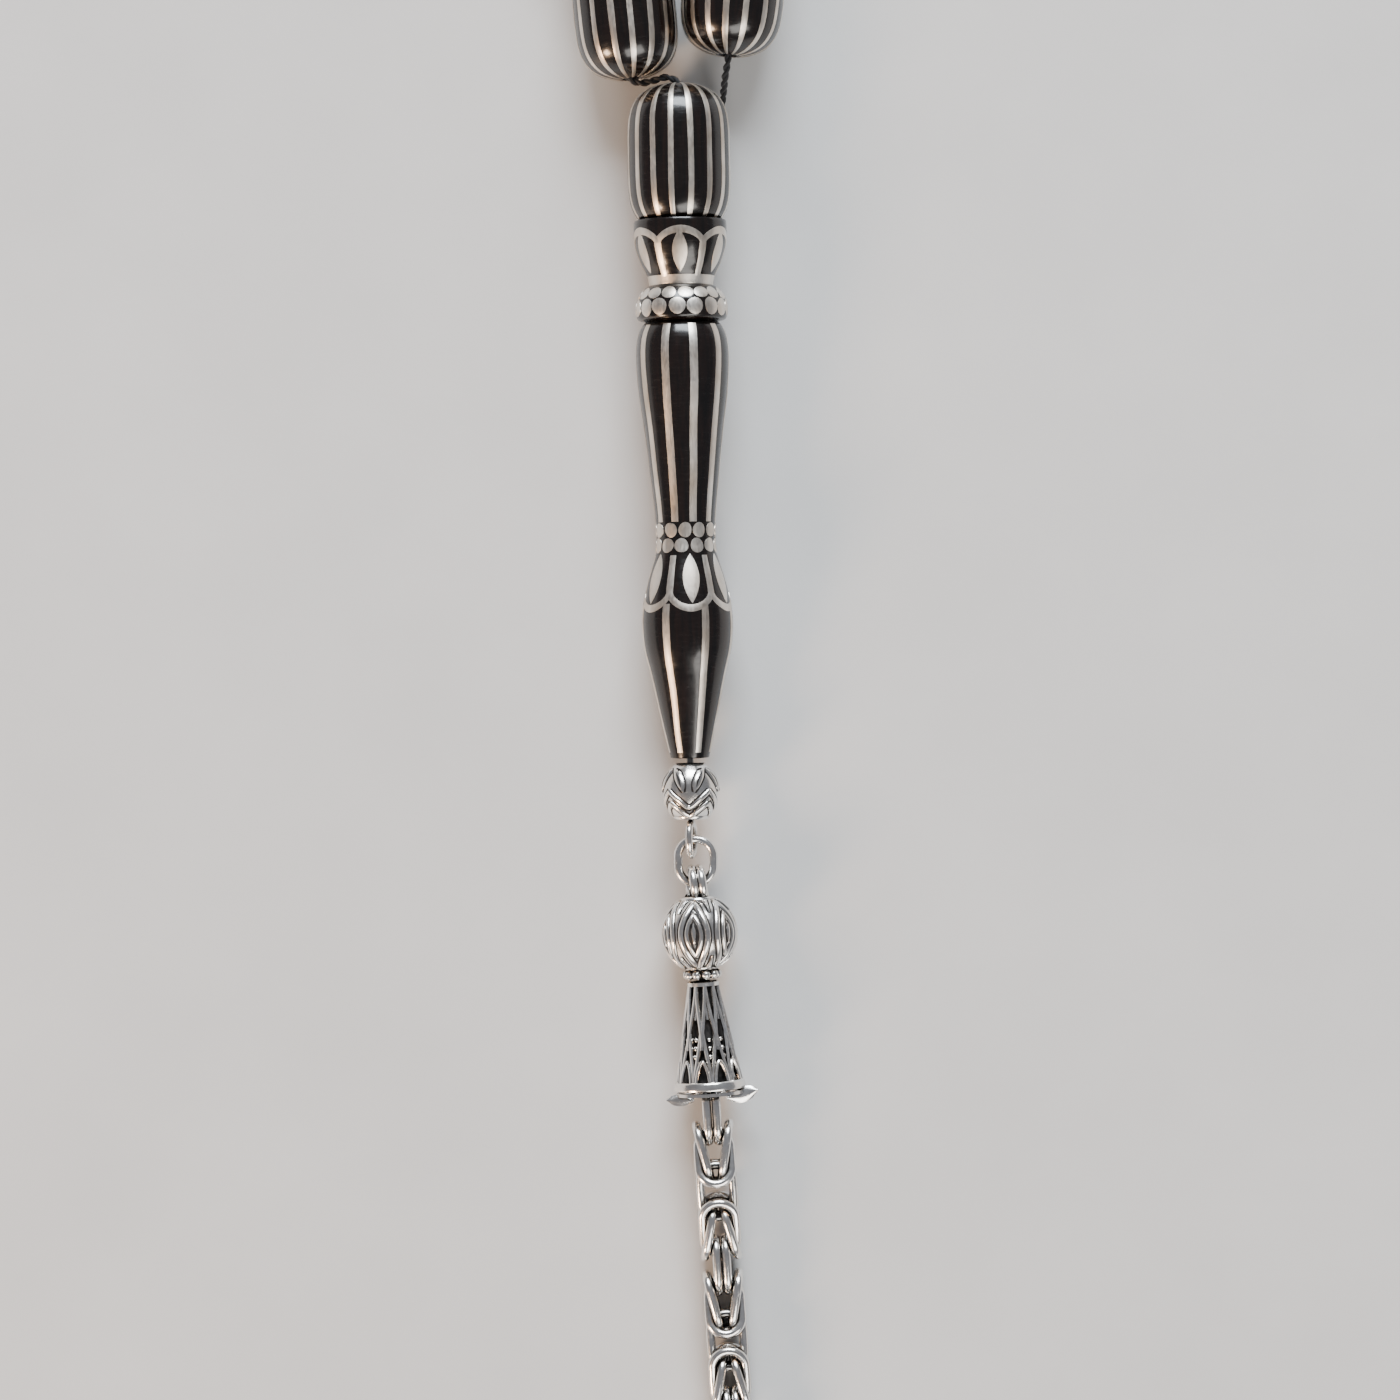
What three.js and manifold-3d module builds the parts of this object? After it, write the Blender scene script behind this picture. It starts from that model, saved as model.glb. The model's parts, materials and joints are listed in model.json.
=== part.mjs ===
// Misbaha (prayer beads): a closed string of 33 wooden beads and two marker discs, a turned long bead
// (the imame) that gathers both strands, and a silver tassel of a filigree cap and a king chain.
// It lies flat. +Y runs from the tassel to the loop, +X to the right, +Z up. Lengths in millimetres.
import * as THREE from 'three';
import Module from 'manifold-3d';
import { mergeVertices } from 'three/addons/utils/BufferGeometryUtils.js';

const wasm = await Module();
wasm.setup();

// ---- Driving dimensions -------------------------------------------------------------------------
const BEAD_COUNT = 33;
const BEADS_BEFORE_MARKER = 11;
const BEAD_LENGTH = 11.7;
const BEAD_RADIUS = 4;
const BEAD_BORE_RADIUS = 0.9;
const BEAD_GAP = 0.7;
const MARKER_LENGTH = 2.8;
const MARKER_RADIUS = 3.1;

const STRING_RADIUS = 0.3;
const STRING_SIDES = 8;

const IMAME_LENGTH = 41.8;
const IMAME_RADIUS = 3.6;
const IMAME_BORE_RADIUS = 0.8;
const SEAT_RADIUS = 3.42; // the dished top that the first bead sits in
const SEAT_DEPTH = 2.2;
const BEAD_IN_SEAT = 1.06;
// A notch in the seat's rim, underneath, where the returning strand comes in. From the seat's centre.
const NOTCH_RADIUS = 0.5;
const NOTCH_OUTER = [3.1, 0.63, -3.45];
const NOTCH_INNER = [0.9, -1.6, -1.35];
const KNOT_BORE_RADIUS = 1.15;
const KNOT_BORE_DEPTH = 3.2;
// Its top is as high as the first bead's axis, and its lower bulge rests on the table.
const BULGE_RADIUS = 3.54;
const BULGE_PLACE = 31.9;
const NECK_LEAN = Math.asin((BEAD_RADIUS - BULGE_RADIUS) / BULGE_PLACE);

const STOP_BALL_RADIUS = 2.3;
const STOP_BALL_LENGTH = 4.36;
const STOP_BALL_GAP = 0.35;
const PIN_RADIUS = 0.25;

// The eye pin under the imame and the jump ring on it.
const EYE_WIRE_RADIUS = 0.23;
const EYE_RADIUS = 1;
const EYE_CENTRE = -IMAME_LENGTH - 6.55;
const RING_WIRE_RADIUS = 0.325;
const RING_HALF_WIDTH = 1.375;
const RING_HALF_LENGTH = 1.725;
const RING_CENTRE = -IMAME_LENGTH - 8.05;
const RING_SHIFT = 0.3; // it has slid to the right on the eye
const RING_HEIGHT = 3.2;

// The tassel's cap hangs from the ring's lower wire. Its own Y places count from there.
const TASSEL_LEAN = THREE.MathUtils.degToRad(2.8);
const TASSEL_HEIGHT = 3.05;
const BAIL_CENTRE = RING_CENTRE - RING_HALF_LENGTH;
const BAIL_RADIUS = 1.15;
const BAIL_WIRE_RADIUS = 0.28;
const BAIL_HALF_WIDTH = 0.55;
const BAIL_TURNS = 1.75;
const CAP_BALL_RADIUS = 3;
const CAP_BALL_CENTRE = -3.9;
const CONE_TOP = -7.6;
const CONE_LENGTH = 8.5;
const CONE_TOP_RADIUS = 1.2;
const CONE_MOUTH_RADIUS = 2.78;
const CONE_WALL = 0.35;
const CONE_WINDOWS = 10;
const CAP_EYE_CENTRE = CONE_TOP - CONE_LENGTH + 1.65;
const CAP_EYE_RADIUS = 0.95;
const CAP_EYE_WIRE_RADIUS = 0.3;

const LINK_COUNT = 10;
const LINK_PITCH = 5.95;
const LINK_WIRE_RADIUS = 0.5;
const LINK_HALF_WIDTH = 1.175; // of the wire's centreline
const LINK_PLAY = 0.3; // free gap between two links' wires
const LINK_REACH = (LINK_PITCH + LINK_PLAY) / 2 + LINK_WIRE_RADIUS; // centre to end wire's centreline
// How far each link tilts from the one before, as the chain comes down from the cap onto the table.
const LINK_DROP = [0, 9, -5, -4];

const ROUND = 24; // sides of a turned piece
const BEAD_SIDES = 12;
const WIRE_SIDES = 6;
const LENGTHWISE = new THREE.Vector3(0, 1, 0);

// The string's route: up the imame, through the first bead, round the loop clockwise and back under
// the first bead into the imame. The imame's top is at y = 0, its axis at x = 0.
const ROUTE = [
  [-0.34, -38.3, 3.45],
  [-0.34, -5, 3.93],
  [-0.1, -1.4, 3.97],
  [0, 0.6, 4],
  [0.2, 7, 4],
  [0.42, 9.4, 4],
  [0.2, 10.6, 4],
  [-0.75, 11.15, 4],
  [-1.9, 10.9, 4],
  [-2.95, 10.75, 4],
  [-3.85, 11.25, 4],
  [-4.05, 12.7, 4],
  [-4.15, 17, 4],
  [-4.56, 23.05, 4],
  [-6.5, 35, 4],
  [-13.4, 63.5, 4],
  [-25.2, 94, 4],
  [-35.8, 123, 4],
  [-38.4, 156.2, 4],
  [-29.6, 180.2, 4],
  [-10.5, 193.1, 4],
  [12.4, 192.5, 4],
  [31, 178.6, 4],
  [38.6, 156.2, 4],
  [35.4, 123, 4],
  [25, 94, 4],
  [13.6, 63.5, 4],
  [7, 37, 4],
  [4.3, 18, 4],
  [3.95, 12.34, 4],
  [3.7, 11.1, 3.1],
  [3.5, 9.6, 1.5],
  [3.1, 7.6, 0.45],
  [2.9, 3.6, 0.36],
  [2.75, 1.6, 0.6],
  [2.62, 0.15, 1],
  [1.6, -0.9, 1.98],
  [0.6, -1.8, 3.2],
  [0.36, -2.9, 3.8],
  [0.34, -5, 3.93],
  [0.34, -38.3, 3.45],
];
// Where the first two beads begin, and how far they lean from +Y.
const FIRST_BEADS = [
  { name: 'bead_01', mouth: [0, -BEAD_IN_SEAT], lean: 0 },
  { name: 'bead_02', mouth: [-3.53, 11.04], lean: 4.9 },
];
const BEADS_START = 13; // the route's points where the other beads begin and end
const BEADS_END = 29;
// Free string left after some beads, on the straight stretches where they can slide.
const SLACK_AFTER = { bead_04: 3, bead_08: 3, bead_27: 3.5, bead_30: 4.7 };

// ---- Finishes -----------------------------------------------------------------------------------
const wood = new THREE.MeshStandardMaterial({ color: 0x17100d, roughness: 0.25, metalness: 0 });
const silver = new THREE.MeshStandardMaterial({ color: 0xc9c6c0, roughness: 0.25, metalness: 1 });
const thread = new THREE.MeshStandardMaterial({ color: 0x0d0d0f, roughness: 0.8, metalness: 0 });

// ---- Geometry helpers ---------------------------------------------------------------------------
// A turned piece: [radius, y] points, from its lower end up the outside and back down the bore.
// Outer points are widened so that the flats, not the corners, stand at the stated radius.
function turned(outside, bore, sides) {
  const toFlat = 1 / Math.cos(Math.PI / sides);
  const points = outside.map(([r, y]) => new THREE.Vector2(r * toFlat, y));
  for (const [r, y] of bore) points.push(new THREE.Vector2(r, y));
  points.push(points[0].clone());
  return new THREE.LatheGeometry(points, sides, Math.PI / sides);
}

// The same outline at both ends, mirrored about y = 0.
function mirrored(half) {
  const upper = [...half].reverse().map(([r, y]) => [r, -y]);
  return [...upper, ...half];
}

// A curve through given points that keeps to them, with straight runs between.
class Polyline extends THREE.Curve {
  constructor(points) {
    super();
    this.points = points;
  }
  getPoint(t) {
    const place = t * (this.points.length - 1);
    const i = Math.min(Math.max(Math.floor(place), 0), this.points.length - 2);
    return this.points[i].clone().lerp(this.points[i + 1], place - i);
  }
  getUtoTmapping(u) {
    return u;
  }
}

function sweep(points, radius, sides) {
  const section = new THREE.Shape();
  for (let i = 0; i < sides; i++) {
    const a = (2 * Math.PI * i) / sides;
    section[i ? 'lineTo' : 'moveTo'](radius * Math.cos(a), radius * Math.sin(a));
  }
  const steps = points.length - 1;
  return new THREE.ExtrudeGeometry(section, { steps, extrudePath: new Polyline(points) });
}

// A closed wire ring in the XY plane, stretched along Y to an oval with straight sides.
function ovalRing(halfWidth, halfLength, wireRadius, segments) {
  const ring = new THREE.TorusGeometry(halfWidth, wireRadius, WIRE_SIDES, segments);
  const place = ring.attributes.position;
  const stretch = halfLength - halfWidth;
  for (let i = 0; i < place.count; i++) {
    const y = place.getY(i);
    if (Math.abs(y) > 1e-6) place.setY(i, y + Math.sign(y) * stretch);
  }
  return ring;
}

function rod(from, to, radius) {
  const start = new THREE.Vector3(...from);
  const along = new THREE.Vector3(...to).sub(start);
  const turn = new THREE.Quaternion().setFromUnitVectors(LENGTHWISE, along.clone().normalize());
  const geometry = new THREE.CylinderGeometry(radius, radius, along.length(), 8);
  return geometry.applyQuaternion(turn).translate(...start.addScaledVector(along, 0.5));
}

function solidOf(geometry) {
  const bare = geometry.clone().deleteAttribute('normal').deleteAttribute('uv');
  const merged = mergeVertices(bare, 1e-5);
  return new wasm.Manifold(new wasm.Mesh({
    numProp: 3,
    vertProperties: new Float32Array(merged.attributes.position.array),
    triVerts: new Uint32Array(merged.index.array),
  }));
}

function geometryOf(solid) {
  const mesh = solid.getMesh();
  const geometry = new THREE.BufferGeometry();
  geometry.setAttribute('position', new THREE.BufferAttribute(mesh.vertProperties, 3));
  geometry.setIndex(new THREE.BufferAttribute(mesh.triVerts, 1));
  return geometry;
}

function named(name, geometry, material, parent) {
  const mesh = new THREE.Mesh(geometry, material);
  mesh.name = name;
  parent.add(mesh);
  return mesh;
}

// ---- The loop: beads, markers and string --------------------------------------------------------
function beadGeometry() {
  const end = BEAD_LENGTH / 2;
  const half = [
    [BEAD_RADIUS, end - 3.2],
    [3.35, end - 1.2],
    [2.2, end - 0.42],
    [BEAD_BORE_RADIUS, end],
  ];
  return turned(mirrored(half), [], BEAD_SIDES);
}

function markerGeometry() {
  const end = MARKER_LENGTH / 2;
  const half = [
    [MARKER_RADIUS, end - 0.9],
    [2.3, end - 0.25],
    [BEAD_BORE_RADIUS, end],
  ];
  return turned(mirrored(half), [], BEAD_SIDES);
}

// The pieces strung along the route after the first two beads, in order.
function strungPieces() {
  const pieces = [];
  for (let n = FIRST_BEADS.length + 1; n <= BEAD_COUNT; n++) {
    pieces.push({ name: `bead_${String(n).padStart(2, '0')}`, length: BEAD_LENGTH });
    if (n % BEADS_BEFORE_MARKER === 0 && n < BEAD_COUNT) {
      pieces.push({ name: `marker_${n / BEADS_BEFORE_MARKER}`, length: MARKER_LENGTH });
    }
  }
  return pieces;
}

// The first sample along the path that is a given straight distance from a point.
function stepAlong(path, from, distance) {
  let next = from;
  while (next < path.length - 1 && path[next].distanceTo(path[from]) < distance) next++;
  return next;
}

function buildLoop(parent) {
  const smooth = new THREE.CatmullRomCurve3(ROUTE.map((p) => new THREE.Vector3(...p)));
  const perStretch = 400;
  const samples = smooth.getPoints(perStretch * (ROUTE.length - 1));
  const every = (from, to) => samples.slice(from, to).filter((_, i) => i % (perStretch / 2) === 0);
  const bead = beadGeometry();
  const marker = markerGeometry();

  for (const { name, mouth, lean } of FIRST_BEADS) {
    const mesh = named(name, bead, wood, parent);
    mesh.position.set(mouth[0], mouth[1], BEAD_RADIUS);
    mesh.rotation.z = THREE.MathUtils.degToRad(lean);
    mesh.translateY(BEAD_LENGTH / 2);
  }

  // The string is straight inside each of the others, so that is where each one lies.
  const strung = [];
  let at = BEADS_START * perStretch;
  for (const piece of strungPieces()) {
    const next = stepAlong(samples, at, piece.length + BEAD_GAP);
    const mesh = named(piece.name, piece.name.startsWith('bead') ? bead : marker, wood, parent);
    const along = samples[next].clone().sub(samples[at]).normalize();
    mesh.position.copy(samples[at]).lerp(samples[next], 0.5);
    mesh.quaternion.setFromUnitVectors(LENGTHWISE, along);
    strung.push(samples[at]);
    at = next;
    if (SLACK_AFTER[piece.name]) {
      strung.push(samples[at]);
      at = stepAlong(samples, at, SLACK_AFTER[piece.name]);
    }
  }
  const ends = BEADS_END * perStretch;
  const points = [...every(0, BEADS_START * perStretch), ...strung, ...every(ends, samples.length)];
  named('string', sweep(points, STRING_RADIUS, STRING_SIDES), thread, parent);
}

function buildKnot(parent) {
  const outside = [[0.05, -0.9], [0.75, -0.75], [1, 0], [0.75, 0.75], [0.05, 0.9]];
  const knot = named('string_knot', turned(outside, [], STRING_SIDES), thread, parent);
  knot.position.y = -39.5;
}

// ---- The imame ----------------------------------------------------------------------------------
function buildImame(parent) {
  const outside = [
    [1.52, -IMAME_LENGTH],
    [2.61, -36.6],
    [BULGE_RADIUS, -BULGE_PLACE],
    [3.5, -30.3],
    [2.35, -26.4],
    [2.3, -23.6],
    [2.73, -19.1],
    [3.39, -14.3],
    [3.58, -11.8],
    [3.58, -9.65],
    [2.7, -7.95],
    [3.54, -7.9],
    [3.54, -6.4],
    [2.9, -5.4],
    [2.4, -5.05],
    [2.61, -4.3],
    [3.05, -3.4],
    [3.5, -2],
    [IMAME_RADIUS, -1],
    [IMAME_RADIUS, -0.15],
    [3.55, 0],
  ];
  const bore = [
    [SEAT_RADIUS, 0],
    [IMAME_BORE_RADIUS + 0.4, -SEAT_DEPTH],
    [IMAME_BORE_RADIUS, -SEAT_DEPTH - 0.6],
    [IMAME_BORE_RADIUS, KNOT_BORE_DEPTH - IMAME_LENGTH],
    [KNOT_BORE_RADIUS, KNOT_BORE_DEPTH - IMAME_LENGTH - 0.3],
    [KNOT_BORE_RADIUS, -IMAME_LENGTH],
  ];
  const notch = rod(NOTCH_OUTER, NOTCH_INNER, NOTCH_RADIUS);
  const solid = solidOf(turned(outside, bore, ROUND)).subtract(solidOf(notch));
  named('imame_body', geometryOf(solid), wood, parent);
}

// ---- The small ball and the eye pin under the imame ---------------------------------------------
function ballOutline(radius, halfLength, steps) {
  const endAngle = Math.asin(halfLength / radius);
  const half = [];
  for (let i = 0; i <= steps; i++) {
    const a = (endAngle * i) / steps;
    half.push([radius * Math.cos(a), radius * Math.sin(a)]);
  }
  return half;
}

function openBall(radius, halfLength, boreRadius) {
  const half = ballOutline(radius, halfLength, 4);
  half.push([boreRadius, halfLength + 0.02]);
  return turned(mirrored(half.slice(1)), [], 16);
}

// A wire stem along Y with a round eye in the YZ plane at its lower end.
function eyePin(stemTop, eyeCentre, eyeRadius, wireRadius) {
  const eye = ovalRing(eyeRadius, eyeRadius, wireRadius, 16).rotateY(Math.PI / 2);
  eye.translate(0, eyeCentre, 0);
  const stemFoot = eyeCentre + eyeRadius;
  const stem = new THREE.CylinderGeometry(wireRadius, wireRadius, stemTop - stemFoot, 8);
  stem.translate(0, (stemTop + stemFoot) / 2, 0);
  return geometryOf(solidOf(eye).add(solidOf(stem)));
}

function buildStopBall(parent) {
  const ball = openBall(STOP_BALL_RADIUS, STOP_BALL_LENGTH / 2 - 0.02, PIN_RADIUS + 0.15);
  const mesh = named('stop_ball', ball, silver, parent);
  mesh.position.y = -IMAME_LENGTH - STOP_BALL_GAP - STOP_BALL_LENGTH / 2;
}

// ---- The tassel ---------------------------------------------------------------------------------
function buildNeck(parent) {
  const neck = new THREE.Group();
  neck.position.z = BEAD_RADIUS;
  neck.rotation.x = NECK_LEAN;
  parent.add(neck);
  buildKnot(neck);
  buildImame(neck);
  buildStopBall(neck);
  const eye = eyePin(1 - IMAME_LENGTH, EYE_CENTRE, EYE_RADIUS, EYE_WIRE_RADIUS);
  named('eye_link', eye, silver, neck);
}

function buildRing(parent) {
  const ring = ovalRing(RING_HALF_WIDTH, RING_HALF_LENGTH, RING_WIRE_RADIUS, 20);
  const mesh = named('jump_ring', ring, silver, parent);
  mesh.position.set(RING_SHIFT, RING_CENTRE, RING_HEIGHT);
}

// The cap's bail: two turns of wire side by side, their ends let into the ball.
function bailGeometry() {
  const steps = 28;
  const points = [];
  for (let i = 0; i <= steps; i++) {
    const a = -Math.PI / 2 + 0.35 + (2 * Math.PI * BAIL_TURNS * i) / steps;
    const x = BAIL_HALF_WIDTH - (2 * BAIL_HALF_WIDTH * i) / steps;
    points.push(new THREE.Vector3(x, BAIL_RADIUS * Math.sin(a), BAIL_RADIUS * Math.cos(a)));
  }
  return sweep(points, BAIL_WIRE_RADIUS, WIRE_SIDES);
}

function capBallGeometry() {
  const outer = ballOutline(CAP_BALL_RADIUS, 2.55, 4).slice(1);
  const inner = ballOutline(CAP_BALL_RADIUS - 0.5, 2.02, 3).slice(1);
  const outside = mirrored(outer);
  return turned(outside, mirrored(inner).reverse(), 16);
}

function granuleRingGeometry() {
  return new THREE.TorusGeometry(1.13, 0.38, WIRE_SIDES, 20).rotateX(Math.PI / 2);
}

// The cone's wall, with a tall window between each two ribs.
function coneGeometry() {
  const mouth = -CONE_LENGTH;
  const outside = [
    [CONE_MOUTH_RADIUS - 0.08, mouth],
    [CONE_MOUTH_RADIUS, mouth + 0.15],
    [CONE_MOUTH_RADIUS - 0.02, mouth + 0.9],
    [CONE_TOP_RADIUS, -0.2],
    [CONE_TOP_RADIUS - 0.1, 0],
  ];
  const bore = [
    [CONE_TOP_RADIUS - CONE_WALL, 0],
    [CONE_MOUTH_RADIUS - CONE_WALL, mouth],
  ];
  let cone = solidOf(turned(outside, bore, 20));
  for (let i = 0; i < CONE_WINDOWS; i++) {
    const window = new THREE.CylinderGeometry(0.16, 0.52, CONE_LENGTH - 2.8, 4, 1);
    window.rotateY(Math.PI / 4);
    window.scale(1, 1, 4);
    window.translate(0, -CONE_LENGTH / 2 - 0.1, 2.2);
    window.rotateY((2 * Math.PI * i) / CONE_WINDOWS);
    cone = cone.subtract(solidOf(window));
  }
  return geometryOf(cone);
}

// A flat collar under the cone's mouth, with a flared leaf at each side.
function leafCollarGeometry() {
  const shape = new THREE.Shape();
  shape.moveTo(0, 2.6);
  shape.absarc(0, 0, 2.6, Math.PI / 2, Math.PI / 2 - 1.2, true);
  shape.lineTo(3.45, 0.95);
  shape.lineTo(3.7, 0);
  shape.lineTo(3.45, -0.95);
  shape.absarc(0, 0, 2.6, 1.2 - Math.PI / 2, -1.2 - Math.PI / 2, true);
  shape.lineTo(-3.45, -0.95);
  shape.lineTo(-3.7, 0);
  shape.lineTo(-3.45, 0.95);
  shape.absarc(0, 0, 2.6, Math.PI / 2 + 1.2, Math.PI / 2, true);
  const hole = new THREE.Path();
  hole.absarc(0, 0, 2.2, 0, 2 * Math.PI);
  shape.holes.push(hole);
  const flat = new THREE.ExtrudeGeometry(shape, { depth: 0.4, bevelEnabled: false, curveSegments: 6 });
  return flat.rotateX(Math.PI / 2);
}

function buildCap(parent) {
  named('tassel_bail', bailGeometry(), silver, parent);
  const ball = named('cap_ball', capBallGeometry(), silver, parent);
  ball.position.y = CAP_BALL_CENTRE;
  const granules = named('granule_ring', granuleRingGeometry(), silver, parent);
  granules.position.y = CONE_TOP + 0.5;
  const cone = named('cone_cage', coneGeometry(), silver, parent);
  cone.position.y = CONE_TOP;
  const collar = named('leaf_collar', leafCollarGeometry(), silver, parent);
  collar.position.y = CONE_TOP - CONE_LENGTH - 0.1;
  const eye = eyePin(CAP_BALL_CENTRE - 2.1, CAP_EYE_CENTRE, CAP_EYE_RADIUS, CAP_EYE_WIRE_RADIUS);
  named('chain_eye', eye, silver, parent);
}

function buildChain(parent) {
  let holder = new THREE.Group();
  holder.position.y = CAP_EYE_CENTRE;
  parent.add(holder);
  for (let n = 1; n <= LINK_COUNT; n++) {
    holder.rotation.x = THREE.MathUtils.degToRad(LINK_DROP[n - 1] ?? 0);
    const ring = ovalRing(LINK_HALF_WIDTH, LINK_REACH, LINK_WIRE_RADIUS, 18);
    const link = named(`chain_link_${n}`, ring, silver, holder);
    link.position.y = n === 1 ? -LINK_REACH : LINK_REACH - LINK_PITCH;
    link.rotation.y = n % 2 ? 0 : Math.PI / 2;
    const next = new THREE.Group();
    next.position.y = link.position.y - LINK_REACH;
    holder.add(next);
    holder = next;
  }
  return holder;
}

// The chain's last piece: an eye pin through a ball like the one under the imame.
function buildChainEnd(parent) {
  parent.rotation.x = THREE.MathUtils.degToRad(-10);
  const eye = eyePin(4.6, 0, CAP_EYE_RADIUS, CAP_EYE_WIRE_RADIUS);
  named('end_eye', eye.rotateX(Math.PI).rotateY(Math.PI / 2), silver, parent);
  const ball = named('end_ball', openBall(STOP_BALL_RADIUS, 2.1, 0.4), silver, parent);
  ball.position.y = -1.25 - 0.1 - 2.1;
}

function buildTassel(parent) {
  buildRing(parent);
  const cap = new THREE.Group();
  cap.position.set(RING_SHIFT, BAIL_CENTRE, TASSEL_HEIGHT);
  cap.rotation.z = TASSEL_LEAN;
  parent.add(cap);
  buildCap(cap);
  buildChainEnd(buildChain(cap));
}

// ---- The whole object, with its origin under the middle of what it covers -------------------------
const misbaha = new THREE.Group();
buildLoop(misbaha);
buildNeck(misbaha);
buildTassel(misbaha);

misbaha.updateMatrixWorld(true);
const box = new THREE.Box3();
for (const piece of misbaha.children) {
  if (!piece.name.startsWith('string')) box.expandByObject(piece, true);
}
misbaha.position.set(-(box.min.x + box.max.x) / 2, -(box.min.y + box.max.y) / 2, -box.min.z);

export default misbaha;
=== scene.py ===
"""The looks of a set of misbaha prayer beads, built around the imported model.

Blender's objects are in metres. Sizes and places in this script are in millimetres, in each piece's own
frame: Y runs along the piece towards the loop, Z up from the table. Shape.build() turns them into metres.
"""

import json
import math
import random

import bmesh
import bpy
import numpy as np
from mathutils import Matrix, Vector


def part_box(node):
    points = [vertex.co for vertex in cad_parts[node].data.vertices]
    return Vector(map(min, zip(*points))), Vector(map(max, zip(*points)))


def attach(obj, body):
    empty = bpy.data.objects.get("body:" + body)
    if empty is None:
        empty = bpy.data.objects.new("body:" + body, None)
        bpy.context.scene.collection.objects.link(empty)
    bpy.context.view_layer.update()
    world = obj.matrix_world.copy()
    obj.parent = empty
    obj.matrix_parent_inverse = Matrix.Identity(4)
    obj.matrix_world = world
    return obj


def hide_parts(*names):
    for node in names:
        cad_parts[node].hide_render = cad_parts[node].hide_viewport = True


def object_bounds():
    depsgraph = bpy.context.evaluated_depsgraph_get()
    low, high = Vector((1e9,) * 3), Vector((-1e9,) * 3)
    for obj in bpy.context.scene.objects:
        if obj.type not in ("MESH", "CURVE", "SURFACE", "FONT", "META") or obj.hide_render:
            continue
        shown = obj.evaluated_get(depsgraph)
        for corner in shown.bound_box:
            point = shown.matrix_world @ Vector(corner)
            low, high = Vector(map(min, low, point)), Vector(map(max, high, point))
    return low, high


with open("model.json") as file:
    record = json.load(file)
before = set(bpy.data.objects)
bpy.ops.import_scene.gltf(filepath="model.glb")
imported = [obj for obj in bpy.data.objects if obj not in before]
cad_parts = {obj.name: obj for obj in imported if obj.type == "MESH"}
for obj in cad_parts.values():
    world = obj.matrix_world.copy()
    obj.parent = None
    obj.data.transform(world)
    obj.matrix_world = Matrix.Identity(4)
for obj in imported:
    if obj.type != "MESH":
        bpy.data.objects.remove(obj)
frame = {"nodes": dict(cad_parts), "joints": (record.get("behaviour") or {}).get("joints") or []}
CAD_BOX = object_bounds()
MM = 0.001
JOINTS = {joint["name"]: joint for joint in frame["joints"]}

# ---- Sizes, in millimetres ------------------------------------------------------------------------
BEAD_LENGTH = 11.7
BEAD_RADIUS = 4.0
BEAD_GAP = 0.7
BEAD_BORE = 0.72
BEAD_STRIPS = 16
FIRST_STRIP = {"bead_01": -8.5, "bead_02": 7.3, "bead_33": 5.5}  # degrees; the other beads lie anyhow
MARKER_LENGTH = 2.8
MARKER_RADIUS = 3.1
STRING_DIAMETER = 0.6
STRING_STEP = 0.19  # between two points along a ply
TWIST_LENGTH = 1.55  # for one turn of the plies
PLY_RADIUS = STRING_DIAMETER * 0.27
PLY_OFFSET = STRING_DIAMETER * 0.23
LEAST_STEP = 0.05  # nearer points of the string's route are dropped
IMAME_LENGTH = 41.8
RIM_RADIUS = 3.55
STOP_BALL_RADIUS = 2.3
CAP_BALL_RADIUS = 3.0
CAP_BALL_CENTRE = -3.9
CONE_TOP = -7.6
CONE_LENGTH = 8.5
CONE_TOP_RADIUS = 1.2
CONE_MOUTH_RADIUS = 2.78
LINK_COUNT = 10
WIRE = 0.355  # radius of the chain's wire
JUMP_RING_WIRE = 0.34
BAIL_WIRE = 0.36
CAGE_WIRE = 0.165

# The groove in the imame's rim for the returning strand, from the rim's middle.
NOTCH_OUTER = (3.55, 1.09, -3.87)
NOTCH_INNER = (0.9, -1.6, -1.35)
NOTCH_RADIUS = 0.5

CAMERA_PLACE = (0.86, -37.3, 348)  # from the table under the imame's top
CAMERA_ANGLE = 17.98  # degrees
CAMERA_TURN = -1.07  # degrees
TABLE_HALF_SIZE = 1.5  # metres
TABLE_DROP = 0.05  # of the table top under the object

# The string's route where no bead holds it straight, from the imame's top.
ROUTE_OUT = [
    (-0.34, -38.3, 3.45),
    (-0.34, -5, 3.93),
    (-0.1, -1.4, 3.97),
    (0, 0.6, 4),
    (0.2, 7, 4),
    (0.42, 9.4, 4),
    (0.2, 10.6, 4),
    (-0.75, 11.15, 4),
    (-1.9, 10.9, 4),
    (-2.95, 10.75, 4),
    (-3.85, 11.25, 4),
    (-4.05, 12.7, 4),
    (-4.15, 17, 4),
    (-4.56, 23.05, 4),
]
ROUTE_BACK = [
    (3.95, 12.34, 4),
    (3.7, 11.1, 3.1),
    (3.5, 9.6, 1.5),
    (3.1, 7.6, 0.45),
    (2.9, 3.6, 0.36),
    (2.75, 1.6, 0.6),
    (2.62, 0.15, 1),
    (1.6, -0.9, 1.98),
    (0.6, -1.8, 3.2),
    (0.36, -2.9, 3.8),
    (0.34, -5, 3.93),
    (0.34, -38.3, 3.45),
]


# ---- Frames ---------------------------------------------------------------------------------------
def middle(node):
    low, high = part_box(node)
    return (low + high) / 2


def place(origin, lengthwise, up=(0, 0, 1)):
    """A frame at origin, in metres, with Y lengthwise and Z as near to up as it can be."""
    y = Vector(lengthwise).normalized()
    x = y.cross(Vector(up)).normalized()
    z = x.cross(y)
    matrix = Matrix((x, y, z)).transposed().to_4x4()
    matrix.translation = origin
    return matrix


def joint_point(name):
    return Vector(JOINTS[name]["pos_m"])


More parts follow.
